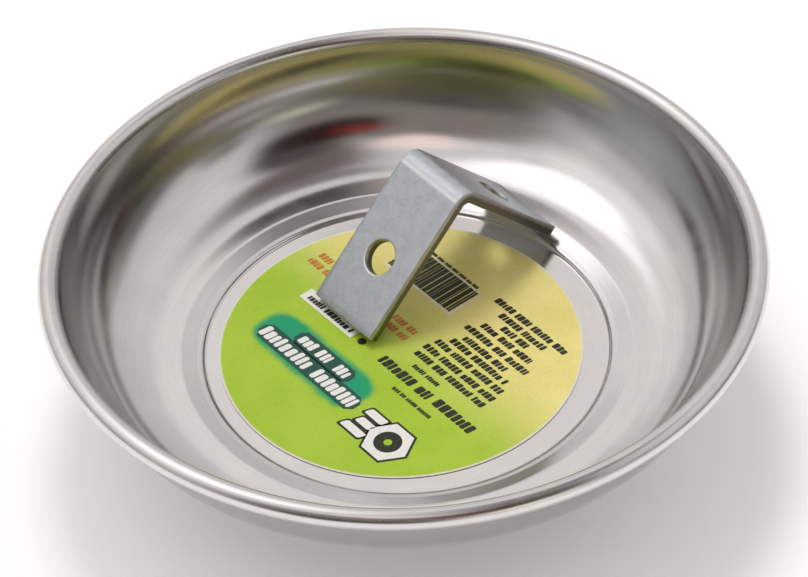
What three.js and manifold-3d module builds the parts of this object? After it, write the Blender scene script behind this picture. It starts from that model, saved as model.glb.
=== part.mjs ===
// Magnetic parts tray: a round pressed-steel dish with a rolled rim, held down on steel by a
// rubber-booted ring magnet under its sunk centre, with a bent steel bracket standing in it.
// Millimetres, +Z up. The origin is on the tray's axis, at the underside of the rubber boot.

import * as THREE from 'three';
import { mergeVertices } from 'three/addons/utils/BufferGeometryUtils.js';
import Module from 'manifold-3d';

const wasm = await Module();
wasm.setup();

const rad = THREE.MathUtils.degToRad;

// Driving dimensions of the dish
const RIM_RADIUS = 75;            // outside of the rolled rim
const SHEET = 0.7;                // stainless sheet
const CURL_RADIUS = 2.15;         // outside radius of the rolled rim
const CURL_END = rad(-112);       // where the sheet's edge ends, under the curl
const CURL_HEIGHT = 25.05;        // centre of the curl above the sunk floor
const FLOOR_EDGE_RADIUS = 50.8;   // where the flat floor starts to rise
const HEEL_RADIUS = 16.8;         // bend from the floor into the wall, inside
const HEEL_SLOPE = rad(45);       // slope at which the heel gives way to the tall wall arc
const SUNK_DEPTH = 1.7;           // centre sunk below the flat floor

// The pressed step around the sunk centre, from its foot to the flat floor: each corner's
// radius, its height above the sunk floor, and the fillet inside the dish
const STEP = [
  [42.5, 0, 0.9],                 // foot of the short steep rise
  [43.1, 0.62, 0.9],              // its top, where a narrow ledge starts
  [44.2, 0.78, 2],                // foot of the gentle rise
  [47.4, SUNK_DEPTH, 3],          // its top, on the flat floor
];

// Driving dimensions of the magnet stack, from the bottom up
const FIT_GAP = 0.05;             // between the flat faces of the stack
const BOOT_FLOOR = 1.8;
const BOOT_WALL = 2;
const BOOT_LIP = 0.6;             // lip that snaps over the magnet's top edge
const BOOT_LIP_WIDTH = 1.4;
const BOOT_EDGE = 0.8;            // rounded foot of the boot
const PLATE_THICKNESS = 1.2;
const MAGNET_RADIUS = 36;
const MAGNET_BORE = 16;
const MAGNET_HEIGHT = 8;
const PAD_THICKNESS = 0.9;
const PAD_CLEARANCE = 0.4;        // between the pad and the boot's lip

// Driving dimensions of the label
const LABEL_RADIUS = 38.4;
const LABEL_THICKNESS = 0.15;
const LABEL_OFFSET = [-1.25, 0.2];   // it is stuck on a little off centre

// Driving dimensions of the bracket
const BRACKET_WIDTH = 18.8;
const BRACKET_THICKNESS = 2.6;
const BRACKET_BEND = 3.8;         // outside radius of the bend
const LONG_LEG = 38;              // to the corner of the outer faces
const SHORT_LEG = 35;
const HOLE_RADIUS = 3.8;
const LONG_LEG_HOLE = 15.2;       // hole centre from the end of its leg
const SHORT_LEG_HOLE = 13.4;
const BRACKET_TURN = rad(36.8);   // turn about the tray's axis
const BRACKET_CORNER = [8.3, 24];    // corner of the outer faces, seen from above
const REST_GAP = 0.3;             // under the bracket's feet

const SEGMENTS = 64;

// Heights that follow from the stack
const PLATE_BOTTOM = BOOT_FLOOR + FIT_GAP;
const MAGNET_BOTTOM = PLATE_BOTTOM + PLATE_THICKNESS + FIT_GAP;
const MAGNET_TOP = MAGNET_BOTTOM + MAGNET_HEIGHT;
const PAD_BOTTOM = MAGNET_TOP + FIT_GAP;
const DISH_BOTTOM = PAD_BOTTOM + PAD_THICKNESS + FIT_GAP;
const SUNK_FLOOR = DISH_BOTTOM + SHEET;
const LABEL_BOTTOM = SUNK_FLOOR + FIT_GAP;
const LABEL_TOP = LABEL_BOTTOM + LABEL_THICKNESS;

// Points of an arc in the radius-height plane, from one angle to the other, both ends included
function arc(centreR, centreZ, radius, from, to, steps) {
  const points = [];
  for (let i = 0; i <= steps; i += 1) {
    const angle = from + ((to - from) * i) / steps;
    points.push([centreR + radius * Math.cos(angle), centreZ + radius * Math.sin(angle)]);
  }
  return points;
}

// Turns a closed radius-height outline about Z
function lathe(points) {
  const profile = points.map(([r, z]) => new THREE.Vector2(r, z));
  const geometry = new THREE.LatheGeometry(profile, SEGMENTS);
  geometry.rotateX(Math.PI / 2);
  return geometry;
}

// A ring or disc whose outline runs inner bottom, outer bottom, outer top, inner top
function ring(innerRadius, outerRadius, bottom, height) {
  const outline = [
    [innerRadius, bottom],
    [outerRadius, bottom],
    [outerRadius, bottom + height],
    [innerRadius, bottom + height],
  ];
  if (innerRadius > 0) outline.push(outline[0]);
  return lathe(outline);
}

function steel(color, roughness) {
  return new THREE.MeshStandardMaterial({ color, roughness, metalness: 1 });
}

function plain(color, roughness) {
  return new THREE.MeshStandardMaterial({ color, roughness, metalness: 0 });
}

function named(name, geometry, material) {
  const mesh = new THREE.Mesh(geometry, material);
  mesh.name = name;
  return mesh;
}

// The face across the step; depth is 0 inside the dish and SHEET outside
function stepFace(depth) {
  const points = [];
  let before = 0;
  STEP.forEach(([radius, height, fillet], i) => {
    const next = STEP[i + 1];
    const after = next ? Math.atan2(next[1] - height, next[0] - radius) : 0;
    // a corner that turns upwards is rounded about a centre above the face, the others below
    const side = after > before ? 1 : -1;
    const reach = fillet * Math.tan(Math.abs(after - before) / 2);
    points.push(...arc(
      radius - reach * Math.cos(before) - side * fillet * Math.sin(before),
      SUNK_FLOOR + height - reach * Math.sin(before) + side * fillet * Math.cos(before),
      fillet + side * depth, before - side * Math.PI / 2, after - side * Math.PI / 2, 3,
    ));
    before = after;
  });
  return points;
}

// One face of the sheet, from the axis out to the curl; depth is 0 inside and SHEET outside
function dishFace(depth) {
  const down = -Math.PI / 2;
  const flatFloor = SUNK_FLOOR + SUNK_DEPTH;
  const heel = arc(
    FLOOR_EDGE_RADIUS, flatFloor + HEEL_RADIUS,
    HEEL_RADIUS + depth, down, down + HEEL_SLOPE, 4,
  );
  // The tall arc leaves the heel at its slope and arrives beside the curl
  const heelTop = [
    FLOOR_EDGE_RADIUS + HEEL_RADIUS * Math.sin(HEEL_SLOPE),
    flatFloor + HEEL_RADIUS * (1 - Math.cos(HEEL_SLOPE)),
  ];
  const rise = SUNK_FLOOR + CURL_HEIGHT - heelTop[1];
  const run = RIM_RADIUS - 2 * CURL_RADIUS - heelTop[0];
  const endSlope = 2 * Math.atan2(rise, run) - HEEL_SLOPE;
  const wallRadius = rise / (Math.cos(HEEL_SLOPE) - Math.cos(endSlope));
  const wall = arc(
    heelTop[0] - wallRadius * Math.sin(HEEL_SLOPE), heelTop[1] + wallRadius * Math.cos(HEEL_SLOPE),
    wallRadius + depth, down + HEEL_SLOPE, down + endSlope, 6,
  );
  return [[0, SUNK_FLOOR - depth], ...stepFace(depth), ...heel, ...wall.slice(1, -1)];
}

// Pressed dish: the sheet's inside face, the rolled rim, and the outside face back to the axis
function makeDish() {
  const curlR = RIM_RADIUS - CURL_RADIUS;
  const curlZ = SUNK_FLOOR + CURL_HEIGHT;
  const curlOutside = arc(curlR, curlZ, CURL_RADIUS, Math.PI, CURL_END, 13);
  const curlInside = arc(curlR, curlZ, CURL_RADIUS - SHEET, CURL_END, Math.PI, 10);
  const outline = [...dishFace(0), ...curlOutside, ...curlInside, ...dishFace(SHEET).reverse()];
  return named('dish', lathe(outline.reverse()), steel(0xb9b6b4, 0.22));
}

function makeLabel() {
  const mesh = named(
    'label', ring(0, LABEL_RADIUS, LABEL_BOTTOM, LABEL_THICKNESS), plain(0xb9d04a, 0.45),
  );
  mesh.position.set(LABEL_OFFSET[0], LABEL_OFFSET[1], 0);
  return mesh;
}

// Double-sided foam ring that bonds the magnet to the underside of the dish
function makeBondingPad() {
  const outer = MAGNET_RADIUS - BOOT_LIP_WIDTH - PAD_CLEARANCE;
  return named('bonding_pad', ring(MAGNET_BORE + 1, outer, PAD_BOTTOM, PAD_THICKNESS), plain(0xe4e2da, 0.9));
}

function makeMagnet() {
  return named('ring_magnet', ring(MAGNET_BORE, MAGNET_RADIUS, MAGNET_BOTTOM, MAGNET_HEIGHT), plain(0x3a3a3c, 0.7));
}

function makeBackingPlate() {
  return named('backing_plate', ring(0, MAGNET_RADIUS, PLATE_BOTTOM, PLATE_THICKNESS), steel(0xa8abae, 0.4));
}

// Rubber cup stretched over the magnet and its plate, with a lip over the magnet's top edge
function makeBoot() {
  const inner = MAGNET_RADIUS + FIT_GAP;
  const outer = inner + BOOT_WALL;
  const lipTop = PAD_BOTTOM + BOOT_LIP;
  const lipEdge = MAGNET_RADIUS - BOOT_LIP_WIDTH;
  const outline = [
    [0, 0],
    ...arc(outer - BOOT_EDGE, BOOT_EDGE, BOOT_EDGE, -Math.PI / 2, 0, 3),
    ...arc(outer - BOOT_LIP, lipTop - BOOT_LIP, BOOT_LIP, 0, Math.PI / 2, 2),
    [lipEdge, lipTop],
    [lipEdge, PAD_BOTTOM],
    [inner, PAD_BOTTOM],
    [inner, BOOT_FLOOR],
    [0, BOOT_FLOOR],
  ];
  return named('rubber_boot', lathe(outline), plain(0x161616, 0.8));
}

// A closed three.js geometry as a solid for a boolean
function toSolid(geometry) {
  const bare = geometry.clone();
  bare.deleteAttribute('normal');
  bare.deleteAttribute('uv');
  const merged = mergeVertices(bare, 1e-4);
  return new wasm.Manifold(new wasm.Mesh({
    numProp: 3,
    vertProperties: new Float32Array(merged.attributes.position.array),
    triVerts: new Uint32Array(merged.index.array),
  }));
}

function toGeometry(solid) {
  const mesh = solid.getMesh();
  const geometry = new THREE.BufferGeometry();
  geometry.setAttribute('position', new THREE.BufferAttribute(mesh.vertProperties, 3));
  geometry.setIndex(new THREE.BufferAttribute(mesh.triVerts, 1));
  geometry.computeVertexNormals();
  return geometry;
}

// Strip bent to a right angle, seen from its edge: the outer faces meet at the local origin,
// the long leg runs along -X and the short leg along -Y; its width is along Z
function bentStrip() {
  const t = BRACKET_THICKNESS;
  const shape = new THREE.Shape();
  shape.moveTo(-LONG_LEG, -t);
  shape.lineTo(-BRACKET_BEND, -t);
  shape.absarc(-BRACKET_BEND, -BRACKET_BEND, BRACKET_BEND - t, Math.PI / 2, 0, true);
  shape.lineTo(-t, -SHORT_LEG);
  shape.lineTo(0, -SHORT_LEG);
  shape.lineTo(0, -BRACKET_BEND);
  shape.absarc(-BRACKET_BEND, -BRACKET_BEND, BRACKET_BEND, 0, Math.PI / 2, false);
  shape.lineTo(-LONG_LEG, 0);
  const strip = new THREE.ExtrudeGeometry(shape, { depth: BRACKET_WIDTH, bevelEnabled: false, curveSegments: 6 });
  strip.translate(0, 0, -BRACKET_WIDTH / 2);
  return strip;
}

// One round screw hole through each leg
function holeCutter(x, y, acrossLongLeg) {
  const cutter = new THREE.CylinderGeometry(HOLE_RADIUS, HOLE_RADIUS, 3 * BRACKET_THICKNESS, 32);
  if (!acrossLongLeg) cutter.rotateZ(Math.PI / 2);
  cutter.translate(x, y, 0);
  return toSolid(cutter);
}

// Slope of the long leg when it stands on the label and the short leg on the flat floor
function bracketLean() {
  const long = LONG_LEG - BRACKET_THICKNESS;
  const short = SHORT_LEG - BRACKET_THICKNESS;
  const rise = SUNK_FLOOR + SUNK_DEPTH - LABEL_TOP;
  return Math.atan2(short, long) + Math.asin(rise / Math.hypot(long, short));
}

function makeBracket() {
  const lean = bracketLean();
  const middle = -BRACKET_THICKNESS / 2;
  const drilled = toSolid(bentStrip())
    .subtract(holeCutter(-LONG_LEG + LONG_LEG_HOLE, middle, true))
    .subtract(holeCutter(middle, -SHORT_LEG + SHORT_LEG_HOLE, false));
  const mesh = named('bracket', toGeometry(drilled), steel(0xaab0b4, 0.45));
  mesh.rotation.z = lean;
  const upright = new THREE.Group();
  upright.rotation.x = Math.PI / 2;
  upright.add(mesh);
  const stand = new THREE.Group();
  // The lowest line of the long leg is the inner edge of its end
  const footDrop = LONG_LEG * Math.sin(lean) + BRACKET_THICKNESS * Math.cos(lean);
  stand.position.set(BRACKET_CORNER[0], BRACKET_CORNER[1], LABEL_TOP + REST_GAP + footDrop);
  stand.rotation.z = BRACKET_TURN;
  stand.add(upright);
  return stand;
}

const group = new THREE.Group();
group.add(
  makeDish(), makeLabel(), makeBondingPad(), makeMagnet(), makeBackingPlate(), makeBoot(), makeBracket(),
);

export default group;
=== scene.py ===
"""Magnetic parts tray: a polished steel dish with a rolled rim and a printed label, a bent zinc
bracket standing in it, and a rubber-booted ring magnet underneath."""

import math
import random

import bmesh
import bpy
from mathutils import Matrix, Vector, noise


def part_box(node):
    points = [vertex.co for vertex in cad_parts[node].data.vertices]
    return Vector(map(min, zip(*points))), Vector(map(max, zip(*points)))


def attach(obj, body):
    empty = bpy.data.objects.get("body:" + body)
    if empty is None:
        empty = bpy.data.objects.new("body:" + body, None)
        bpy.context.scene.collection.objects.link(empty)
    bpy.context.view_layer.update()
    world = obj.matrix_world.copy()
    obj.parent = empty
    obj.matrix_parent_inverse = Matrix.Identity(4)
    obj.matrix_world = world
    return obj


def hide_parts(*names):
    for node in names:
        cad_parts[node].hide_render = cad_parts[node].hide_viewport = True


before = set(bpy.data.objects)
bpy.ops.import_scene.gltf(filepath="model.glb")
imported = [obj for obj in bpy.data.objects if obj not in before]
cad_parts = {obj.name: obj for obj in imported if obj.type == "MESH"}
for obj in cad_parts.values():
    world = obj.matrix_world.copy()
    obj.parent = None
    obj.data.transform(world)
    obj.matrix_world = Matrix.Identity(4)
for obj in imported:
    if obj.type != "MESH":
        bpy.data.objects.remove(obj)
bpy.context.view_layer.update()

MM = 0.001
rad = math.radians


# ---------------------------------------------------------------- sizes, in millimetres
def node_box(node):
    """A CAD node's lowest and highest corners in millimetres."""
    return [Vector(corner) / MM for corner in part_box(node)]


LABEL_LOW, LABEL_HIGH = node_box("label")
DISH_LOW, DISH_HIGH = node_box("dish")
BRACKET_LOW = node_box("bracket")[0]
BOOT_LOW, BOOT_HIGH = node_box("rubber_boot")
PLATE_LOW, PLATE_HIGH = node_box("backing_plate")
MAGNET_LOW, MAGNET_HIGH = node_box("ring_magnet")
PAD_LOW, PAD_HIGH = node_box("bonding_pad")

# the dish: sheet, rolled rim, floor, and the heel where the floor turns up into the wall
SHEET = 0.7
RIM_RADIUS = DISH_HIGH.x
SUNK_FLOOR = DISH_LOW.z + SHEET
CURL_RADIUS = 2.15
CURL_END = rad(-112)
CURL_Z = DISH_HIGH.z - CURL_RADIUS
CURL_R = RIM_RADIUS - CURL_RADIUS
FLOOR_EDGE_RADIUS = 50.8
HEEL_RADIUS = 16.8
HEEL_SLOPE = rad(45)
SUNK_DEPTH = 1.7
FLAT_FLOOR = SUNK_FLOOR + SUNK_DEPTH
# corners of the step around the sunk centre: radius, height above the sunk floor, fillet
STEP = ((42.5, 0, 0.9), (43.1, 0.62, 0.9), (44.2, 0.78, 2), (47.4, SUNK_DEPTH, 3))

# pressing leaves waves between these radii, but none where the sheet joins the curl
WAVE_START, WAVE_END = 47, 71.2
WAVE_GROWTH, WAVE_FADE = 3, 5
WAVE_LENGTH, WAVE_HEIGHT = 17, 0.07
CURL_FOOT_RADIUS, CURL_FOOT_Z = 69, 34
WALL_RUN = 16

LABEL_TOP = LABEL_HIGH.z
LABEL_CENTRE = (LABEL_LOW + LABEL_HIGH) / 2
LABEL_RADIUS = (LABEL_HIGH.x - LABEL_LOW.x) / 2
INK_THICK = 0.03
WORD_SLANT = 0.12

# print on the label: s runs along the lines of print, t across them
PRINT_TURN = rad(-52.4)
PRINT_ALONG = Vector((math.cos(PRINT_TURN), math.sin(PRINT_TURN)))
PRINT_ACROSS = Vector((-PRINT_ALONG.y, PRINT_ALONG.x))
PANEL_CENTRE = (-10.0, -17.3)
PANEL_HALF = (16.4, 5.2)
PANEL_ROUND = 4.6

# the bracket: a strip with a hole in each leg, holes measured from the legs' ends
WIDTH = 18.8
THICK = 2.6
BEND = 3.8
LONG_LEG = 38
SHORT_LEG = 35
HOLE_RADIUS = 3.8
LONG_LEG_HOLE = 15.2
SHORT_LEG_HOLE = 13.4
EDGE_ROUND = 0.32
BEND_SWELL = 0.22
TURN = rad(36.8)
CORNER = (8.3, 24)

# the magnet stack under the dish
CLEARANCE = 0.05
MAGNET_BORE = 16
PAD_BORE = 17
BOOT_LIP = 1.4
BOOT_GROOVES = (22, 30)


# ---------------------------------------------------------------- mesh helpers
def finish_mesh(bm, name, body, nodes, materials, sharp=40):
    """Makes a piece from a bmesh in millimetres."""
    bmesh.ops.recalc_face_normals(bm, faces=bm.faces)
    for vertex in bm.verts:
        vertex.co *= MM
    mesh = bpy.data.meshes.new(name)
    bm.to_mesh(mesh)
    bm.free()
    for polygon in mesh.polygons:
        polygon.use_smooth = True
    mesh.set_sharp_from_angle(angle=rad(sharp))
    piece = bpy.data.objects.new(name, mesh)
    bpy.context.collection.objects.link(piece)
    for material_used in materials:
        mesh.materials.append(material_used)
    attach(piece, body)
    if nodes:
        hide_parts(*nodes)
    return piece


def arc(centre_r, centre_z, radius, start, end, steps):
    """Points of an arc in the radius-height plane, both ends included."""
    return [
        (
            centre_r + radius * math.cos(start + (end - start) * i / steps),
            centre_z + radius * math.sin(start + (end - start) * i / steps),
        )
        for i in range(steps + 1)
    ]


def rounded(corners, fillets, steps=4):
    """Rounds the corners of a radius-height outline; a fillet of 0 keeps a corner sharp."""
    points = []
    count = len(corners)
    for i, (corner, fillet) in enumerate(zip(corners, fillets)):
        if not fillet:
            points.append(corner)
            continue
        here = Vector(corner)
        before = (Vector(corners[i - 1]) - here).normalized()
        after = (Vector(corners[(i + 1) % count]) - here).normalized()
        half = before.angle(after) / 2
        centre = here + (before + after).normalized() * fillet / math.sin(half)
        start = here + before * fillet / math.tan(half) - centre
        end = here + after * fillet / math.tan(half) - centre
        for j in range(steps + 1):
            spoke = start.lerp(end, j / steps).normalized() * fillet
            points.append(tuple(centre + spoke))
    return points


def lathe(outline, segments=240, wave=None, centre=(0, 0)):
    """Turns a closed outline about Z. Points on the axis become one vertex."""
    bm = bmesh.new()
    rings = []
    for radius, height in outline:
        if radius < 1e-6:
            rings.append([bm.verts.new((centre[0], centre[1], height))])
            continue
        ring = []
        for k in range(segments):
            angle = 2 * math.pi * k / segments
            r, z = wave(radius, height, angle) if wave else (radius, height)
            ring.append(
                bm.verts.new((centre[0] + r * math.cos(angle), centre[1] + r * math.sin(angle), z))
            )
        rings.append(ring)
    pairs = list(zip(rings, rings[1:]))
    if len(rings[0]) > 1 or len(rings[-1]) > 1:
        pairs.append((rings[-1], rings[0]))
    for ring, following in pairs:
        for k in range(segments):
            n = (k + 1) % segments
            if len(ring) == 1 and len(following) == 1:
                break
            if len(ring) == 1:
                bm.faces.new((ring[0], following[k], following[n]))
            elif len(following) == 1:
                bm.faces.new((ring[k], ring[n], following[0]))
            else:
                bm.faces.new((ring[k], ring[n], following[n], following[k]))
    return bm


# ---------------------------------------------------------------- material helpers
class Nodes:
    """A short way to write a shader tree."""

    def __init__(self, tree):
        self.tree = tree
        self.tree.nodes.clear()

    def add(self, kind, **settings):
        node = self.tree.nodes.new(kind)
        for name, value in settings.items():
            setattr(node, name, value)
        return node

    def put(self, value, socket):
        if isinstance(value, bpy.types.NodeSocket):
            self.tree.links.new(value, socket)
        elif value is not None:
            socket.default_value = value

    def math(self, operation, a, b=None):
        node = self.add("ShaderNodeMath", operation=operation)
        for value, socket in zip((a, b), node.inputs):
            self.put(value, socket)
        return node.outputs[0]

    def length(self, a, b):
        """Length of the plane vector (a, b)."""
        squares = self.math("ADD", self.math("MULTIPLY", a, a), self.math("MULTIPLY", b, b))
        return self.math("SQRT", squares)

    def vector(self, operation, a, b=None, scale=None):
        node = self.add("ShaderNodeVectorMath", operation=operation)
        self.put(a, node.inputs[0])
        self.put(b, node.inputs[1])
        if scale is not None:
            node.inputs["Scale"].default_value = scale
        return node.outputs["Value" if operation in ("DOT_PRODUCT", "LENGTH") else "Vector"]

    def mix(self, factor, a, b, blend="MIX"):
        node = self.add("ShaderNodeMix", data_type="RGBA", blend_type=blend)
        self.put(factor, node.inputs["Factor"])
        self.put(a, node.inputs[6])
        self.put(b, node.inputs[7])
        return node.outputs[2]

    def range(self, value, low, high, to_low=0.0, to_high=1.0):
        """A smooth step, from to_low at low to to_high at high."""
        node = self.add("ShaderNodeMapRange", interpolation_type="SMOOTHSTEP")
        for item, socket in zip((value, low, high, to_low, to_high), node.inputs):
            self.put(item, socket)
        return node.outputs[0]

    def noise(self, vector, scale, detail=2.0, roughness=0.5, distortion=0.0):
        node = self.add("ShaderNodeTexNoise")
        self.put(vector, node.inputs["Vector"])
        node.inputs["Scale"].default_value = scale
        node.inputs["Detail"].default_value = detail
        node.inputs["Roughness"].default_value = roughness
        node.inputs["Distortion"].default_value = distortion
        return node.outputs["Fac"]

    def cells(self, vector, scale):
        """Distance to the nearest of scattered points."""
        node = self.add("ShaderNodeTexVoronoi")
        self.put(vector, node.inputs["Vector"])
        node.inputs["Scale"].default_value = scale
        return node.outputs["Distance"]

    def position(self):
        """Object coordinates in millimetres."""
        coordinates = self.add("ShaderNodeTexCoord")
        return self.vector("SCALE", coordinates.outputs["Object"], scale=1 / MM)

    def split(self, vector):
        node = self.add("ShaderNodeSeparateXYZ")
        self.put(vector, node.inputs[0])
        return node.outputs

    def join(self, x, y, z):
        node = self.add("ShaderNodeCombineXYZ")
        for value, socket in zip((x, y, z), node.inputs):
            self.put(value, socket)
        return node.outputs[0]

    def stretched(self, vector, factors):
        return self.vector("MULTIPLY", vector, factors)

    def bump(self, height, distance, normal=None):
        """A bumped normal; distance is in millimetres."""
        node = self.add("ShaderNodeBump")
        node.inputs["Distance"].default_value = distance * MM
        node.inputs["Strength"].default_value = 1.0
        self.put(height, node.inputs["Height"])
        if normal:
            self.put(normal, node.inputs["Normal"])
        return node.outputs[0]

    def shade(self, colour, roughness, normal=None, **constants):
        shader = self.add("ShaderNodeBsdfPrincipled")
        self.put(colour, shader.inputs["Base Color"])
        self.put(roughness, shader.inputs["Roughness"])
        if normal:
            self.put(normal, shader.inputs["Normal"])
        for name, value in constants.items():
            shader.inputs[name.replace("_", " ")].default_value = value
        output = self.add("ShaderNodeOutputMaterial")
        self.tree.links.new(shader.outputs[0], output.inputs[0])
        return shader


def material(name):
    """An empty material and a writer for its shader tree."""
    made = bpy.data.materials.new(name)
    made.use_nodes = True
    return made, Nodes(made.node_tree)


def rgb(red, green, blue):
    """A display colour from 0 to 255 as linear light."""

    def linear(value):
        value /= 255
        return value / 12.92 if value <= 0.04045 else ((value + 0.055) / 1.055) ** 2.4

    return (linear(red), linear(green), linear(blue), 1.0)


# ---------------------------------------------------------------- materials
def polished_steel(name):
    """Pressed stainless sheet: bright, with faint turning lines, smudges and fine scratches."""
    made, n = material(name)
    place = n.position()
    x, y, z = n.split(place)
    radius = n.length(x, y)
    angle = n.math("ARCTAN2", y, x)
    around = n.join(radius, n.math("MULTIPLY", angle, 1.2), z)
    turning = n.noise(around, 5.0, detail=3.0, roughness=0.7)
    rolling = n.noise(n.stretched(place, (4.5, 0.09, 4.5)), 1.3, detail=3.0, roughness=0.65)
    smudge = n.noise(place, 0.06, detail=5.0, roughness=0.6, distortion=0.6)
    fine = n.noise(n.stretched(place, (1.0, 0.06, 1.0)), 9.0, detail=2.0)
    scratch_a = n.noise(n.stretched(place, (0.5, 7.0, 0.5)), 1.0, detail=1.0)
    scratches = n.range(scratch_a, 0.70, 0.76)
    tone = n.mix(n.range(smudge, 0.35, 0.7), rgb(221, 218, 218), rgb(228, 226, 223))
    tone = n.mix(n.range(turning, 0.35, 0.75, 0.0, 0.35), tone, rgb(205, 203, 202))
    # painted reflection: a darker band high on the wall stands in for the dark things it reflects
    band = n.math("MULTIPLY", n.range(radius, 65.5, 68.5), n.range(radius, 70.6, 71.4, 1.0, 0.0))
    tone = n.mix(n.math("MULTIPLY", band, 0.9), tone, rgb(184, 182, 180))
    roughness = n.math(
        "ADD",
        n.range(smudge, 0.3, 0.75, 0.125, 0.175),
        n.math("MULTIPLY", n.math("ADD", fine, scratches), 0.03),
    )
    normal = n.bump(turning, 0.0006)
    normal = n.bump(rolling, 0.0006, normal=normal)
    # the rolled rim is scuffed duller than the bowl
    roughness = n.math("ADD", roughness, n.range(z, 35.5, 37.5, 0.0, 0.09))
    n.shade(tone, roughness, normal, Metallic=1.0, Anisotropic=0.15)
    return made


def zinc_plate(name, cut=False):
    """Zinc-plated strip: mottled blue-grey with fine draw lines; pale press lines at the bends and
    rims at the holes, brightened by a painted highlight.
    """
    made, n = material(name)
    along = n.add("ShaderNodeAttribute", attribute_name="flat").outputs["Vector"]
    u, v, depth = n.split(along)
    mottle = n.noise(along, 0.35, detail=5.0, roughness=0.62, distortion=0.5)
    spangle = n.noise(along, 1.6, detail=3.0, roughness=0.6)
    grain = n.noise(n.stretched(along, (0.5, 9.0, 9.0)), 1.0, detail=3.0, roughness=0.7)
    pits = n.range(n.noise(along, 3.4, detail=2.0), 0.64, 0.72)
    tone = n.mix(n.range(mottle, 0.36, 0.66), rgb(190, 195, 200), rgb(210, 215, 217))
    tone = n.mix(n.range(spangle, 0.42, 0.62, 0.0, 0.5), tone, rgb(218, 216, 226))
    tone = n.mix(n.range(grain, 0.4, 0.75, 0.0, 0.45), tone, rgb(180, 190, 188))
    tone = n.mix(n.math("MULTIPLY", pits, 0.35), tone, rgb(128, 130, 134))
    rough = n.range(mottle, 0.3, 0.7, 0.36, 0.48)
    if cut:
        # a sheared edge: burnished near the outer face, torn and darker towards the inner
        torn = n.noise(n.stretched(along, (2.2, 2.2, 0.25)), 1.0, detail=3.0, roughness=0.8)
        band = n.range(n.math("ADD", depth, n.math("MULTIPLY", torn, 0.9)), 0.9, 1.7)
        tone = n.mix(band, rgb(205, 204, 196), rgb(128, 126, 116))
        rough = n.range(band, 0.0, 1.0, 0.3, 0.5)
        normal = n.bump(torn, 0.05)
    else:
        # burnished die lines at the bend tangents on the outer face, painted near white as a
        # highlight as well
        first, last = LONG_LEG - BEND, LONG_LEG - BEND + BEND * math.pi / 2
        for centre, reach, gain in ((first + 0.2, 0.75, 0.9), (last - 0.1, 0.8, 0.7)):
            away = n.math("ABSOLUTE", n.math("SUBTRACT", u, centre))
            worn = n.range(grain, 0.2, 0.6, 0.55, 1.0)
            press_line_and_highlight = n.math("MULTIPLY", n.range(away, 0.0, reach, 1.0, 0.0), worn)
            outer = n.range(depth, 0.3, 1.0, 1.0, 0.0)
            press_line_and_highlight = n.math("MULTIPLY", n.math("MULTIPLY", press_line_and_highlight, outer), gain)
            tone = n.mix(press_line_and_highlight, tone, rgb(246, 247, 248))
        # a pale burr round each hole, painted brighter on one side as a highlight
        for centre in (LONG_LEG_HOLE, last + SHORT_LEG - BEND - SHORT_LEG_HOLE):
            gap = n.math("SUBTRACT", u, centre)
            off = n.math("ABSOLUTE", n.math("SUBTRACT", n.length(gap, v), HOLE_RADIUS + 0.3))
            burr_and_glint = n.range(off, 0.0, 0.28, 1.0, 0.0)
            side = n.range(n.math("ADD", gap, n.math("MULTIPLY", v, 0.6)), -1.0, -4.0, 0.12, 0.8)
            tone = n.mix(n.math("MULTIPLY", burr_and_glint, side), tone, rgb(244, 245, 246))
        normal = n.bump(spangle, 0.012)
        normal = n.bump(grain, 0.01, normal=normal)
        normal = n.bump(pits, -0.01, normal=normal)
    n.shade(tone, rough, normal, Metallic=1.0)
    return made


def label_paper(name):
    """Coated printed paper: green running into pale yellow, with a soft-edged teal panel."""
    made, n = material(name)
    place = n.position()
    x, y, z = n.split(place)
    fibre = n.noise(n.stretched(place, (1.0, 1.0, 0.1)), 2.6, detail=4.0, roughness=0.7)
    cloud = n.noise(place, 0.07, detail=3.0, roughness=0.6)
    slope = n.math("ADD", n.math("MULTIPLY", x, 0.8), n.math("MULTIPLY", y, 0.6))
    slope = n.math("ADD", slope, n.math("MULTIPLY", cloud, 8.0))
    green = n.mix(n.range(cloud, 0.3, 0.7), rgb(163, 196, 44), rgb(174, 204, 60))
    yellow = n.mix(n.range(cloud, 0.3, 0.7), rgb(244, 230, 148), rgb(232, 219, 130))
    tone = n.mix(n.range(slope, -6.0, 20.0), green, yellow)
    # the teal panel lies along the lines of print, and its ink fades at the edge
    s, t = print_axes(n, x, y)
    wobble = n.math("MULTIPLY", n.math("SUBTRACT", n.noise(place, 0.22, detail=2.0), 0.5), 1.6)
    panel = rounded_box(n, s, t, PANEL_CENTRE, PANEL_HALF, PANEL_ROUND)
    panel = n.math("ADD", panel, wobble)
    tone = n.mix(n.range(panel, 1.5, -0.7), tone, rgb(112, 176, 84))
    tone = n.mix(n.range(panel, 0.7, -1.0), tone, rgb(24, 158, 104))
    tone = n.mix(n.range(panel, -1.2, -3.2, 0.0, 0.6), tone, rgb(20, 152, 116))
    # bare paper at the die-cut edge
    rim_x = n.math("SUBTRACT", x, LABEL_CENTRE.x)
    rim_y = n.math("SUBTRACT", y, LABEL_CENTRE.y)
    reach = n.math("ADD", n.length(rim_x, rim_y), n.math("MULTIPLY", fibre, 0.3))
    edge = n.range(reach, LABEL_RADIUS - 0.5, LABEL_RADIUS - 0.05)
    tone = n.mix(edge, tone, rgb(228, 224, 214))
    speck = n.range(fibre, 0.3, 0.75, 0.93, 1.05)
    tone = n.mix(1.0, tone, n.join(speck, speck, speck), "MULTIPLY")
    rough = n.range(cloud, 0.3, 0.7, 0.34, 0.44)
    normal = n.bump(fibre, 0.006)
    normal = n.bump(cloud, 0.10, normal=normal)
    n.shade(tone, rough, normal, Specular_IOR_Level=0.3)
    return made


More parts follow.
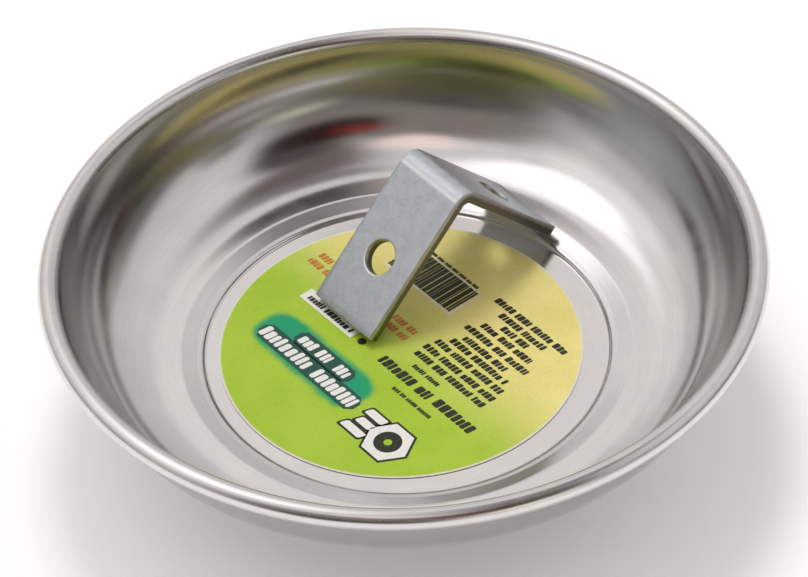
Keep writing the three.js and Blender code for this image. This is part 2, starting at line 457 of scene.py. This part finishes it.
def print_axes(n, x, y):
    """Coordinates along and across the lines of print, as sockets."""
    s = n.math("ADD", n.math("MULTIPLY", x, PRINT_ALONG.x), n.math("MULTIPLY", y, PRINT_ALONG.y))
    t = n.math("ADD", n.math("MULTIPLY", x, PRINT_ACROSS.x), n.math("MULTIPLY", y, PRINT_ACROSS.y))
    return s, t


def rounded_box(n, s, t, centre, half, corner):
    """Distance to a rounded rectangle's edge, negative inside."""
    from_s = n.math("ABSOLUTE", n.math("SUBTRACT", s, centre[0]))
    from_t = n.math("ABSOLUTE", n.math("SUBTRACT", t, centre[1]))
    over_s = n.math("SUBTRACT", from_s, half[0] - corner)
    over_t = n.math("SUBTRACT", from_t, half[1] - corner)
    outside = n.length(n.math("MAXIMUM", over_s, 0.0), n.math("MAXIMUM", over_t, 0.0))
    inside = n.math("MINIMUM", n.math("MAXIMUM", over_s, over_t), 0.0)
    return n.math("SUBTRACT", n.math("ADD", outside, inside), corner)


def ink(name, colour, worn, amount=0.35):
    """Printing ink whose cover is a little uneven."""
    made, n = material(name)
    place = n.position()
    cover = n.noise(place, 1.5, detail=4.0, roughness=0.65)
    tone = n.mix(n.range(cover, 0.45, 0.7, 0.0, amount), rgb(*colour), rgb(*worn))
    n.shade(tone, n.range(cover, 0.3, 0.7, 0.36, 0.5), n.bump(cover, 0.004))
    return made


def black_rubber(name):
    """Moulded rubber: near black, matt, with a little dust."""
    made, n = material(name)
    place = n.position()
    grain = n.noise(place, 3.5, detail=4.0, roughness=0.7)
    dust = n.noise(place, 0.12, detail=5.0, roughness=0.65)
    tone = n.mix(n.range(dust, 0.4, 0.75), rgb(26, 26, 27), rgb(52, 51, 50))
    rough = n.range(dust, 0.35, 0.7, 0.62, 0.8)
    n.shade(tone, rough, n.bump(grain, 0.03), Specular_IOR_Level=0.35)
    return made


def ferrite(name):
    """Sintered ferrite: dark grey, grainy and slightly chipped."""
    made, n = material(name)
    place = n.position()
    grain = n.noise(place, 2.0, detail=6.0, roughness=0.75)
    chips = n.range(n.cells(place, 0.5), 0.0, 0.5)
    tone = n.mix(n.range(grain, 0.35, 0.7), rgb(50, 50, 53), rgb(76, 75, 77))
    normal = n.bump(grain, 0.05)
    normal = n.bump(chips, 0.02, normal=normal)
    n.shade(tone, n.range(grain, 0.3, 0.7, 0.55, 0.75), normal)
    return made


def foam(name):
    """Off-white foam tape with open pores."""
    made, n = material(name)
    place = n.position()
    pores = n.cells(place, 2.4)
    stain = n.noise(place, 0.15, detail=4.0)
    tone = n.mix(n.range(stain, 0.35, 0.7), rgb(232, 230, 222), rgb(212, 207, 192))
    tone = n.mix(n.range(pores, 0.25, 0.0, 0.0, 0.5), tone, rgb(168, 163, 150))
    n.shade(tone, n.range(stain, 0.3, 0.7, 0.85, 0.95), n.bump(pores, 0.12))
    return made


def plain_steel(name):
    """Rolled steel with an oily film."""
    made, n = material(name)
    place = n.position()
    rolled = n.noise(n.stretched(place, (0.2, 6.0, 6.0)), 1.0, detail=4.0, roughness=0.7)
    oil = n.noise(place, 0.1, detail=4.0)
    tone = n.mix(n.range(oil, 0.35, 0.7), rgb(186, 188, 190), rgb(164, 162, 160))
    tone = n.mix(n.range(rolled, 0.4, 0.7, 0.0, 0.4), tone, rgb(202, 203, 205))
    n.shade(tone, n.range(rolled, 0.3, 0.7, 0.3, 0.45), n.bump(rolled, 0.008), Metallic=1.0)
    return made


def pale_floor(name):
    """Matt white surface; from below it is clear, so that the underside can be looked at."""
    made, n = material(name)
    place = n.position()
    soft = n.noise(place, 0.02, detail=2.0)
    tone = n.mix(soft, rgb(247, 247, 247), rgb(250, 250, 250))
    matt = n.shade(tone, n.range(soft, 0.0, 1.0, 0.85, 0.9), Specular_IOR_Level=0.1)
    matt.inputs["Emission Color"].default_value = (1, 1, 1, 1)
    matt.inputs["Emission Strength"].default_value = 0.16
    output = n.tree.nodes[-1]
    clear = n.add("ShaderNodeBsdfTransparent")
    either = n.add("ShaderNodeMixShader")
    n.put(n.add("ShaderNodeNewGeometry").outputs["Backfacing"], either.inputs[0])
    n.tree.links.new(matt.outputs[0], either.inputs[1])
    n.tree.links.new(clear.outputs[0], either.inputs[2])
    n.tree.links.new(either.outputs[0], output.inputs[0])
    return made


STEEL = polished_steel("stainless")
ZINC = zinc_plate("zinc")
ZINC_CUT = zinc_plate("zinc_cut_edge", cut=True)
PAPER = label_paper("label_paper")
BLACK_INK = ink("ink_black", (22, 27, 12), (78, 86, 34), 0.4)
WHITE_INK = ink("ink_white", (236, 234, 228), (206, 214, 206))
ORANGE_INK = ink("ink_orange", (196, 108, 44), (206, 156, 66), 0.8)
TEAL_INK = ink("ink_teal", (14, 72, 58), (18, 98, 76))


# ---------------------------------------------------------------- the dish
def step_face(depth):
    """The face across the step; depth is 0 inside the dish and SHEET outside."""
    points = []
    before = 0
    for i, (radius, height, fillet) in enumerate(STEP):
        after = 0
        if i + 1 < len(STEP):
            after = math.atan2(STEP[i + 1][1] - height, STEP[i + 1][0] - radius)
        # a corner that turns upwards is rounded about a centre above the face, the others below
        side = 1 if after > before else -1
        reach = fillet * math.tan(abs(after - before) / 2)
        points += arc(
            radius - reach * math.cos(before) - side * fillet * math.sin(before),
            SUNK_FLOOR + height - reach * math.sin(before) + side * fillet * math.cos(before),
            fillet + side * depth, before - side * math.pi / 2, after - side * math.pi / 2, 8,
        )
        before = after
    return points


def dish_face(depth):
    """One face of the sheet from the axis out to the curl; depth is 0 inside, SHEET outside."""
    down = -math.pi / 2
    points = [(0, SUNK_FLOOR - depth)]
    points += [(r, SUNK_FLOOR - depth) for r in (10, 20, 28, 34, 38, 40)]
    points += step_face(depth)
    points += [(r, FLAT_FLOOR - depth) for r in (48.2, 49, 49.9)]
    points += arc(
        FLOOR_EDGE_RADIUS, FLAT_FLOOR + HEEL_RADIUS,
        HEEL_RADIUS + depth, down, down + HEEL_SLOPE, 18,
    )
    heel_top = (
        FLOOR_EDGE_RADIUS + HEEL_RADIUS * math.sin(HEEL_SLOPE),
        FLAT_FLOOR + HEEL_RADIUS * (1 - math.cos(HEEL_SLOPE)),
    )
    rise = CURL_Z - heel_top[1]
    run = RIM_RADIUS - 2 * CURL_RADIUS - heel_top[0]
    end_slope = 2 * math.atan2(rise, run) - HEEL_SLOPE
    wall_radius = rise / (math.cos(HEEL_SLOPE) - math.cos(end_slope))
    wall = arc(
        heel_top[0] - wall_radius * math.sin(HEEL_SLOPE),
        heel_top[1] + wall_radius * math.cos(HEEL_SLOPE),
        wall_radius + depth, down + HEEL_SLOPE, down + end_slope, 22,
    )
    return points + wall[1:-1]


def pressed(radius, height, angle):
    """The slight unevenness that pressing leaves in the floor and the wall, none at the rim."""
    in_curl = radius > CURL_FOOT_RADIUS and height > CURL_FOOT_Z
    if in_curl or not WAVE_START <= radius <= WAVE_END:
        return radius, height
    near = min(1, (radius - WAVE_START) / WAVE_GROWTH)
    near *= min(1, max(0, (WAVE_END - radius) / WAVE_FADE))
    spot = Vector((radius * math.cos(angle), radius * math.sin(angle), 0)) / WAVE_LENGTH
    lift = noise.noise(spot) * WAVE_HEIGHT * near
    steep = min(1, max(0, (radius - FLOOR_EDGE_RADIUS) / WALL_RUN))
    return radius - lift * steep, height + lift * (1 - steep)


def make_dish():
    outline = dish_face(0)
    outline += arc(CURL_R, CURL_Z, CURL_RADIUS, math.pi, CURL_END, 44)
    outline += arc(CURL_R, CURL_Z, CURL_RADIUS - SHEET, CURL_END, math.pi, 28)
    outline += dish_face(SHEET)[::-1]
    bm = lathe(outline, segments=320, wave=pressed)
    return finish_mesh(bm, "steel_dish", "tray", ["dish"], [STEEL])


# ---------------------------------------------------------------- the label and its print
def make_label():
    bottom, top = LABEL_LOW.z, LABEL_TOP
    edge = 0.04
    corners = [(0, bottom), (LABEL_RADIUS, bottom), (LABEL_RADIUS, top), (0, top)]
    outline = rounded(corners, (0, edge, edge, 0), steps=2)
    inner = [(r, top) for r in (38, 34, 26, 14)]
    outline = outline[:-1] + inner + outline[-1:]
    bm = lathe(outline, segments=192, centre=(LABEL_CENTRE.x, LABEL_CENTRE.y))
    return finish_mesh(bm, "label_disc", "tray", ["label"], [PAPER], sharp=50)


class Print:
    """Collects flat inked shapes, each a thin closed slab on the label."""

    def __init__(self, level):
        self.bm = bmesh.new()
        self.low = LABEL_TOP - 0.01 + level * INK_THICK * 0.7
        self.high = LABEL_TOP + INK_THICK * (1 + 0.7 * level)

    def shape(self, points):
        """A slab from an outline of (s, t) points."""
        ends = []
        for z in (self.low, self.high):
            ends.append(
                [
                    self.bm.verts.new((*(PRINT_ALONG * s + PRINT_ACROSS * t), z))
                    for s, t in points
                ]
            )
        low, high = ends
        count = len(points)
        self.bm.faces.new(low[::-1])
        self.bm.faces.new(high)
        for i in range(count):
            j = (i + 1) % count
            self.bm.faces.new((low[i], low[j], high[j], high[i]))

    def block(self, s0, t0, s1, t1, slant=0.0, corner=0.0):
        """A rectangle, with clipped corners if corner is given, leaning by slant along s."""
        c = min(corner, (s1 - s0) / 2.01, (t1 - t0) / 2.01)
        if c:
            points = [
                (s0 + c, t0), (s1 - c, t0), (s1, t0 + c), (s1, t1 - c),
                (s1 - c, t1), (s0 + c, t1), (s0, t1 - c), (s0, t0 + c),
            ]
        else:
            points = [(s0, t0), (s1, t0), (s1, t1), (s0, t1)]
        middle = (t0 + t1) / 2
        self.shape([(s + (t - middle) * slant, t) for s, t in points])

    def words(self, s0, s1, t, height, dice, weight, gaps=True):
        """A line of filler text: small blocks in runs of uneven length, never letters."""
        s = s0
        run = dice.randint(3, 8)
        while s < s1 - height * 0.2:
            wide = height * dice.uniform(0.34, weight)
            top = t + height / 2 * dice.choice((1, 1, 1, 0.72))
            low = t - height / 2
            end = min(s + wide, s1)
            if end - s > 0.12:
                self.block(s, low, end, top, WORD_SLANT, corner=height * 0.1)
            s = end + height * dice.uniform(0.08, 0.16)
            run -= 1
            if not run:
                run = dice.randint(3, 9)
                if gaps:
                    s += height * 0.42

    def piece(self, name, ink_material):
        return finish_mesh(self.bm, name, "tray", None, [ink_material], sharp=30)


def ellipse(cs, ct, rs, rt, count):
    """Points of an ellipse about (cs, ct)."""
    angles = [2 * math.pi * k / count for k in range(count)]
    return [(cs + rs * math.cos(angle), ct + rt * math.sin(angle)) for angle in angles]


def frame_shape(target, cs, ct, outer, inner, sides_out, sides_in):
    """A ring between two outlines, made of wedge slabs that meet; 0 sides makes a circle."""
    steps = 48
    for k in range(steps):
        quad = []
        for j, (size, sides) in ((k, (outer, sides_out)), (k + 1, (outer, sides_out)),
                                 (k + 1, (inner, sides_in)), (k, (inner, sides_in))):
            angle = 2 * math.pi * j / steps
            reach = size
            if sides:
                sector = 2 * math.pi / sides
                local = angle % sector - sector / 2
                reach = size * math.cos(sector / 2) / math.cos(local)
            quad.append((cs + reach * math.cos(angle), ct + reach * math.sin(angle)))
        target.shape(quad)


def make_print():
    dice = random.Random(7)
    black, white, orange, teal = Print(1), Print(2), Print(0), Print(1)

    # small print in the yellow half
    lines = (
        (2.6, 24.2, 0.45), (2.3, 24.5, 3.1), (2.9, 23.7, 5.8), (4.8, 22.2, 8.35),
        (6.1, 20.3, 10.75), (3.6, 22.9, 13.4), (5.6, 20.9, 16.2), (9.1, 17.0, 18.65),
        (5.8, 20.3, 21.0), (1.7, 24.3, 23.5),
    )
    for s0, s1, t in lines:
        black.words(s0, s1, t, 1.7, dice, weight=0.7)
    # heading in heavier blocks, with a short line over it and a thin one below
    black.words(-0.8, 14.9, -6.2, 2.5, dice, weight=0.8)
    black.words(16.6, 28.2, -5.95, 2.5, dice, weight=0.8, gaps=False)
    black.words(5.4, 13.4, -2.6, 1.2, dice, weight=0.5)
    black.words(7.6, 20.1, -10.0, 0.95, dice, weight=0.5)

    # striped block, with a pale margin and ticks along its far side
    s0, t0, s1, t1 = -22.7, 13.4, -2.1, 21.7
    white.block(s0 - 0.7, t0 - 0.7, s1 + 0.7, t0 - 0.25)
    white.block(s1 + 0.25, t0 - 0.25, s1 + 0.7, t1 + 0.3)
    white.block(s0, t1 + 0.12, s1 + 0.7, t1 + 0.42)
    s = s0
    while s < s1 - 0.2:
        wide = dice.choice((0.35, 0.5, 0.8, 1.2))
        end = min(s + wide, s1)
        black.block(s, t0, end, t1)
        s = end + dice.choice((0.14, 0.14, 0.2, 0.3))
    black.words(s0 + 1, s1 - 1.5, t1 + 1.0, 0.8, dice, weight=0.6)

    # white strip with dark marks at the bracket's foot
    white.block(-27.2, -7.4, -9.9, -3.9)
    black_on_white = Print(3)
    black_on_white.words(-25.6, -11.0, -5.9, 1.5, dice, weight=0.8)
    black.shape(ellipse(-7.4, -6.2, 1.05, 0.95, 18))

    # two orange captions beside the bracket
    captions = ((-34.5, -27.5, 4.3), (-35.0, -28.0, 1.6), (-9.0, -1.4, 1.3), (-9.0, -1.8, 3.9))
    for first, last, t in captions:
        orange.words(first, last, t, 1.75, dice, weight=0.6)

    # two lines of white blocks with dark edges on the teal panel
    teal.block(-25.0, -21.7, 7.0, -16.9, corner=1.4)
    teal.block(-18.0, -17.2, 0.0, -12.9, corner=1.2)
    for first, last in ((-24.2, -8.9), (-6.8, 6.1)):
        white.words(first, last, -19.3, 3.3, dice, weight=0.5, gaps=False)
    for first, last in ((-16.7, -12.2), (-10.9, -7.3), (-4.9, -1.2)):
        white.words(first, last, -15.0, 2.7, dice, weight=0.55, gaps=False)

    # a plain hexagon nut and three bars as the emblem
    frame_shape(black, 19.2, -20.9, 6.1, 0.9, 6, 0)
    frame_shape(white, 19.2, -20.9, 5.5, 3.0, 6, 0)
    for k, (first, last) in enumerate(((8.4, 14.6), (9.8, 14.2), (9.4, 14.8))):
        t = -24.9 + 2.9 * k
        black.block(first - 0.4, t - 0.4, last + 0.4, t + 2.5, slant=0.35, corner=0.4)
        white.block(first + 0.1, t + 0.1, last - 0.1, t + 2.0, slant=0.35, corner=0.3)

    black.piece("label_print_black", BLACK_INK)
    white.piece("label_print_white", WHITE_INK)
    black_on_white.piece("label_print_marks", BLACK_INK)
    orange.piece("label_print_orange", ORANGE_INK)
    teal.piece("label_print_teal", TEAL_INK)


# ---------------------------------------------------------------- the bracket
def bent(u, v, w):
    """Where a point of the flat strip goes: u along it, v across it, w below the outer face."""
    flat = LONG_LEG - BEND
    bow = BEND * math.pi / 2
    if u < flat:
        x, y = -LONG_LEG + u, -w
    elif u < flat + bow:
        angle = (u - flat) / BEND
        x = -BEND + (BEND - w) * math.sin(angle)
        y = -BEND + (BEND - w) * math.cos(angle)
    else:
        x, y = -w, -BEND - (u - flat - bow)
    return x, y, v


def bracket_place():
    """From the bent strip's own axes to the tray: lean, stand up, turn and lift."""
    long, short = LONG_LEG - THICK, SHORT_LEG - THICK
    lean = math.atan2(short, long) + math.asin((FLAT_FLOOR - LABEL_TOP) / math.hypot(long, short))
    drop = LONG_LEG * math.sin(lean) + THICK * math.cos(lean)
    return (
        Matrix.Translation((CORNER[0], CORNER[1], BRACKET_LOW.z + drop))
        @ Matrix.Rotation(TURN, 4, "Z")
        @ Matrix.Rotation(math.pi / 2, 4, "X")
        @ Matrix.Rotation(lean, 4, "Z")
    )


def strip_rows(bm, us, vs):
    """Rectangular patch of the flat strip."""
    grid = [[bm.verts.new((u, v, 0)) for v in vs] for u in us]
    for i in range(len(us) - 1):
        for j in range(len(vs) - 1):
            bm.faces.new((grid[i][j], grid[i + 1][j], grid[i + 1][j + 1], grid[i][j + 1]))


def holed_patch(bm, centre, half, cells):
    """Square patch with a round hole, its outer points on an even grid."""
    rings = 7
    side = [-half + 2 * half * k / cells for k in range(cells + 1)]
    border = [(v, -half) for v in side[:-1]] + [(half, v) for v in side[:-1]]
    border += [(v, half) for v in side[:0:-1]] + [(-half, v) for v in side[:0:-1]]
    loops = []
    for k in range(rings + 1):
        share = (k / rings) ** 1.3
        loop = []
        for u, v in border:
            reach = math.hypot(u, v)
            hole_u, hole_v = u / reach * HOLE_RADIUS, v / reach * HOLE_RADIUS
            at_u = centre + hole_u + (u - hole_u) * share
            at_v = hole_v + (v - hole_v) * share
            loop.append(bm.verts.new((at_u, at_v, 0)))
        loops.append(loop)
    for inner, outer in zip(loops, loops[1:]):
        for k in range(len(border)):
            j = (k + 1) % len(border)
            bm.faces.new((inner[k], outer[k], outer[j], inner[j]))


def make_bracket():
    half = WIDTH / 2
    cells = 16
    vs = [-half + WIDTH * k / cells for k in range(cells + 1)]
    flat = LONG_LEG - BEND
    bow = BEND * math.pi / 2
    total = flat + bow + SHORT_LEG - BEND
    hole_a, hole_b = LONG_LEG_HOLE, total - SHORT_LEG_HOLE

    def steps(start, end, count):
        return [start + (end - start) * k / count for k in range(count + 1)]

    bm = bmesh.new()
    strip_rows(bm, steps(0, hole_a - half, 3), vs)
    holed_patch(bm, hole_a, half, cells)
    middle = steps(hole_a + half, flat, 5) + steps(flat, flat + bow, 14)[1:]
    middle += steps(flat + bow, hole_b - half, 5)[1:]
    strip_rows(bm, middle, vs)
    holed_patch(bm, hole_b, half, cells)
    strip_rows(bm, steps(hole_b + half, total, 3), vs)
    bmesh.ops.remove_doubles(bm, verts=bm.verts, dist=1e-4)
    grown = bmesh.ops.extrude_face_region(bm, geom=list(bm.faces))
    for vertex in (e for e in grown["geom"] if isinstance(e, bmesh.types.BMVert)):
        vertex.co.z = -THICK
    bmesh.ops.recalc_face_normals(bm, faces=bm.faces)
    sharp = [e for e in bm.edges if len(e.link_faces) == 2 and e.calc_face_angle(0) > rad(60)]
    # edges along the faces first, then the short ones through the thickness
    sharp.sort(key=lambda e: abs(e.verts[0].co.z - e.verts[1].co.z) > 1e-6)
    bmesh.ops.bevel(bm, geom=sharp, offset=EDGE_ROUND, segments=3, profile=0.5, affect="EDGES")
    flat_place = bm.verts.layers.float_vector.new("flat")
    bmesh.ops.recalc_face_normals(bm, faces=bm.faces)
    for face in bm.faces:
        face.material_index = 1 if abs(face.normal.z) < 0.5 else 0
    place = bracket_place()
    for vertex in bm.verts:
        u, v, w = vertex.co.x, vertex.co.y, -vertex.co.z
        vertex[flat_place] = (u, v, w)
        # pressing a bend squeezes metal out sideways on its inner side
        at_bend = max(0, 1 - abs(u - flat - bow / 2) / (bow * 0.75))
        swell = BEND_SWELL * at_bend**2 * (w / THICK - 0.35) * (abs(v) / half) ** 6
        v += math.copysign(swell, v)
        vertex.co = place @ Vector(bent(u, v, w))
    return finish_mesh(
        bm, "zinc_bracket", "bracket", ["bracket"], [ZINC, ZINC_CUT], sharp=50
    )


# ---------------------------------------------------------------- the magnet under the dish
def make_stack():
    outer, bottom = BOOT_HIGH.x, BOOT_LOW.z
    inner = PLATE_HIGH.x + CLEARANCE
    floor = PLATE_LOW.z - CLEARANCE
    lip_edge = MAGNET_HIGH.x - BOOT_LIP
    lip_low, lip_top = PAD_LOW.z, BOOT_HIGH.z
    # the underside has two shallow ring grooves that help it grip
    corners = [(0, bottom)]
    fillets = [0]
    for groove in BOOT_GROOVES:
        for offset, depth in ((-0.9, 0), (-0.6, 0.4), (0.6, 0.4), (0.9, 0)):
            corners.append((groove + offset, bottom + depth))
            fillets.append(0.15)
    corners += [(outer, bottom), (outer, lip_top), (lip_edge, lip_top), (lip_edge, lip_low)]
    fillets += [0.8, 0.6, 0.15, 0]
    corners += [(inner, lip_low), (inner, floor), (0, floor)]
    fillets += [0, 0, 0]
    boot = lathe(rounded(corners, fillets), segments=192)
    finish_mesh(boot, "boot", "tray", ["rubber_boot"], [black_rubber("rubber")])

    def band(low, high, inner_radius, chamfer):
        """A ring as high as its node; an inner radius of 0 makes a disc."""
        r0, r1 = inner_radius, high.x
        z0, z1 = low.z, high.z
        if r0:
            outline = [(r0, z0), (r1, z0), (r1, z1), (r0, z1)]
            return lathe(rounded(outline, [chamfer] * 4, steps=2), segments=160)
        outline = [(0, z0), (r1, z0), (r1, z1), (0, z1)]
        return lathe(rounded(outline, [0, chamfer, chamfer, 0], steps=2), segments=160)

    plate = band(PLATE_LOW, PLATE_HIGH, 0, 0.2)
    rolled = plain_steel("rolled_steel")
    finish_mesh(plate, "plate", "tray", ["backing_plate"], [rolled])
    magnet = band(MAGNET_LOW, MAGNET_HIGH, MAGNET_BORE, 0.5)
    sintered = ferrite("sintered_ferrite")
    finish_mesh(magnet, "magnet", "tray", ["ring_magnet"], [sintered])
    pad = band(PAD_LOW, PAD_HIGH, PAD_BORE, 0.12)
    finish_mesh(pad, "pad", "tray", ["bonding_pad"], [foam("foam")])


# ---------------------------------------------------------------- studio
VIEW_DOWN = rad(42.93)
VIEW_ROLL = rad(2.76)
VIEW_DISTANCE = 700
VIEW_TARGET = Vector((-0.03, 18.06, SUNK_FLOOR))
VIEW_LENS = 145.44
STAGE_HALF_M = 2.5


def make_camera():
    ahead = Vector((0, math.cos(VIEW_DOWN), -math.sin(VIEW_DOWN)))
    level = Vector((1, 0, 0))
    upward = level.cross(ahead)
    right = level * math.cos(VIEW_ROLL) - upward * math.sin(VIEW_ROLL)
    top = level * math.sin(VIEW_ROLL) + upward * math.cos(VIEW_ROLL)
    turn = Matrix((right, top, -ahead)).transposed()
    data = bpy.data.cameras.new("camera")
    data.sensor_width = 36
    data.lens = VIEW_LENS
    data.clip_start, data.clip_end = 0.01, 50
    camera = bpy.data.objects.new("camera", data)
    stand = (VIEW_TARGET - ahead * VIEW_DISTANCE) * MM
    camera.matrix_world = Matrix.Translation(stand) @ turn.to_4x4()
    bpy.context.collection.objects.link(camera)
    bpy.context.scene.camera = camera


def sky_axes(azimuth, elevation, roll=0.0):
    """Right, up and forward unit vectors for a patch of sky; azimuth 0 is +Y and 90 is +X."""
    a, e = rad(azimuth), rad(elevation)
    forward = Vector((math.sin(a) * math.cos(e), math.cos(a) * math.cos(e), math.sin(e)))
    right = Vector((math.cos(a), -math.sin(a), 0))
    upward = right.cross(forward)
    c, s = math.cos(rad(roll)), math.sin(rad(roll))
    return right * c + upward * s, upward * c - right * s, forward


# Patches of the room that the polished steel shows: azimuth, elevation, half width and half
# height in degrees, roll, softness, colour, strength and cover
ROOM = (
    # in front of the tray the room is dimmer than behind it
    (186, 32, 45, 30, 0, 0.24, (150, 143, 138), 0.24, 1.0),
    (268, 6, 34, 10, 0, 0.5, (150, 148, 144), 0.36, 0.9),
    # the person at the camera: dark clothes from the zenith down to the front right
    (134, 55, 13, 22, 8, 0.35, (76, 68, 66), 0.07, 1.0),
    (84, 75, 24, 11, 8, 0.45, (88, 80, 78), 0.16, 1.0),
    (22, 69, 7, 8, -24, 0.5, (110, 106, 106), 0.19, 0.9),
    (153, 41, 18, 9, 0, 0.3, (62, 34, 25), 0.016, 1.0),
    # face, hand and sleeve
    (192, 67, 9, 11, 0, 0.45, (240, 218, 214), 1.15, 0.95),
    (165, 44, 7, 3, 10, 0.6, (178, 42, 32), 0.3, 0.9),
    # low in front, furniture in shade with one lit edge
    (200, 15, 27, 12, 0, 0.35, (66, 63, 58), 0.045, 1.0),
    (86, 10, 26, 8, -6, 0.6, (100, 100, 96), 0.12, 0.95),
    (119, 20, 9, 6, -10, 0.6, (108, 104, 98), 0.17, 0.9),
    (149, 14, 14, 5, 0, 0.5, (226, 221, 202), 1.7, 0.95),
    (166, 9, 7, 4, 0, 0.6, (226, 208, 192), 0.9, 0.95),
    # window at the back left, with the glow below and beside it
    (355, 45, 12, 6, 0, 0.6, (255, 250, 248), 0.93, 0.95),
    (354, 13, 14, 6, 0, 0.6, (255, 250, 248), 0.88, 0.9),
    (335, 34, 12, 7, 0, 0.6, (255, 252, 250), 0.88, 0.9),
    (279, 47, 25, 13, 0, 0.5, (255, 254, 252), 1.02, 0.95),
    (306, 65, 19, 14, 0, 0.25, (255, 255, 255), 1.6, 1.0),
    (338, 56, 9, 8, 0, 0.5, (255, 255, 255), 1.5, 0.95),
)


def make_world():
    world = bpy.data.worlds.new("studio")
    world.use_nodes = True
    bpy.context.scene.world = world
    n = Nodes(world.node_tree)
    heading = n.vector("NORMALIZE", n.add("ShaderNodeTexCoord").outputs["Generated"])
    up = n.split(heading)[2]
    colour = n.mix(n.range(up, 0.3, 0.85), (0.64, 0.625, 0.62, 1), (0.76, 0.75, 0.745, 1))
    for azimuth, elevation, wide, high, roll, soft, shade, strength, cover in ROOM:
        right, upward, forward = sky_axes(azimuth, elevation, roll)
        across = n.vector("DOT_PRODUCT", heading, tuple(right / math.sin(rad(wide))))
        along = n.vector("DOT_PRODUCT", heading, tuple(upward / math.sin(rad(high))))
        facing = n.vector("DOT_PRODUCT", heading, tuple(forward))
        mask = n.range(n.length(across, along), 1 - soft, 1 + soft, cover, 0.0)
        mask = n.math("MULTIPLY", mask, n.range(facing, -0.1, 0.15))
        tone = rgb(*shade)
        peak = max(tone[:3])
        tint = tuple(value / peak * strength for value in tone[:3]) + (1.0,)
        colour = n.mix(mask, colour, tint)
    # what the camera sees directly is a plain pale backdrop
    seen = n.add("ShaderNodeLightPath").outputs["Is Camera Ray"]
    colour = n.mix(seen, colour, (0.95, 0.95, 0.95, 1))
    background = n.add("ShaderNodeBackground")
    n.put(colour, background.inputs["Color"])
    output = n.add("ShaderNodeOutputWorld")
    world.node_tree.links.new(background.outputs[0], output.inputs[0])


def make_floor():
    bm = bmesh.new()
    half = STAGE_HALF_M
    corners = ((-half, -half), (half, -half), (half, half), (-half, half))
    bm.faces.new([bm.verts.new((x, y, 0)) for x, y in corners])
    mesh = bpy.data.meshes.new("floor")
    bm.to_mesh(mesh)
    bm.free()
    floor = bpy.data.objects.new("floor", mesh)
    mesh.materials.append(pale_floor("pale_floor"))
    bpy.context.collection.objects.link(floor)


def make_lights():
    """Two soft lights a metre away that reflections don't show: back left, and overhead."""
    for name, azimuth, elevation, size, power in (
        ("window", -6, 66, 0.30, 3.0),
        ("ceiling", 120, 80, 1.2, 1.2),
    ):
        forward = sky_axes(azimuth, elevation)[2]
        data = bpy.data.lights.new(name, "AREA")
        data.shape = "DISK"
        data.size = size
        data.energy = power
        lamp = bpy.data.objects.new(name, data)
        lamp.location = forward
        lamp.rotation_euler = forward.to_track_quat("Z", "Y").to_euler()
        lamp.visible_glossy = False
        bpy.context.collection.objects.link(lamp)


make_dish()
make_label()
make_print()
make_bracket()
make_stack()
make_camera()
make_world()
make_floor()
make_lights()
bpy.context.scene.view_settings.view_transform = "Standard"
bpy.context.scene.view_settings.look = "None"

bpy.context.view_layer.update()
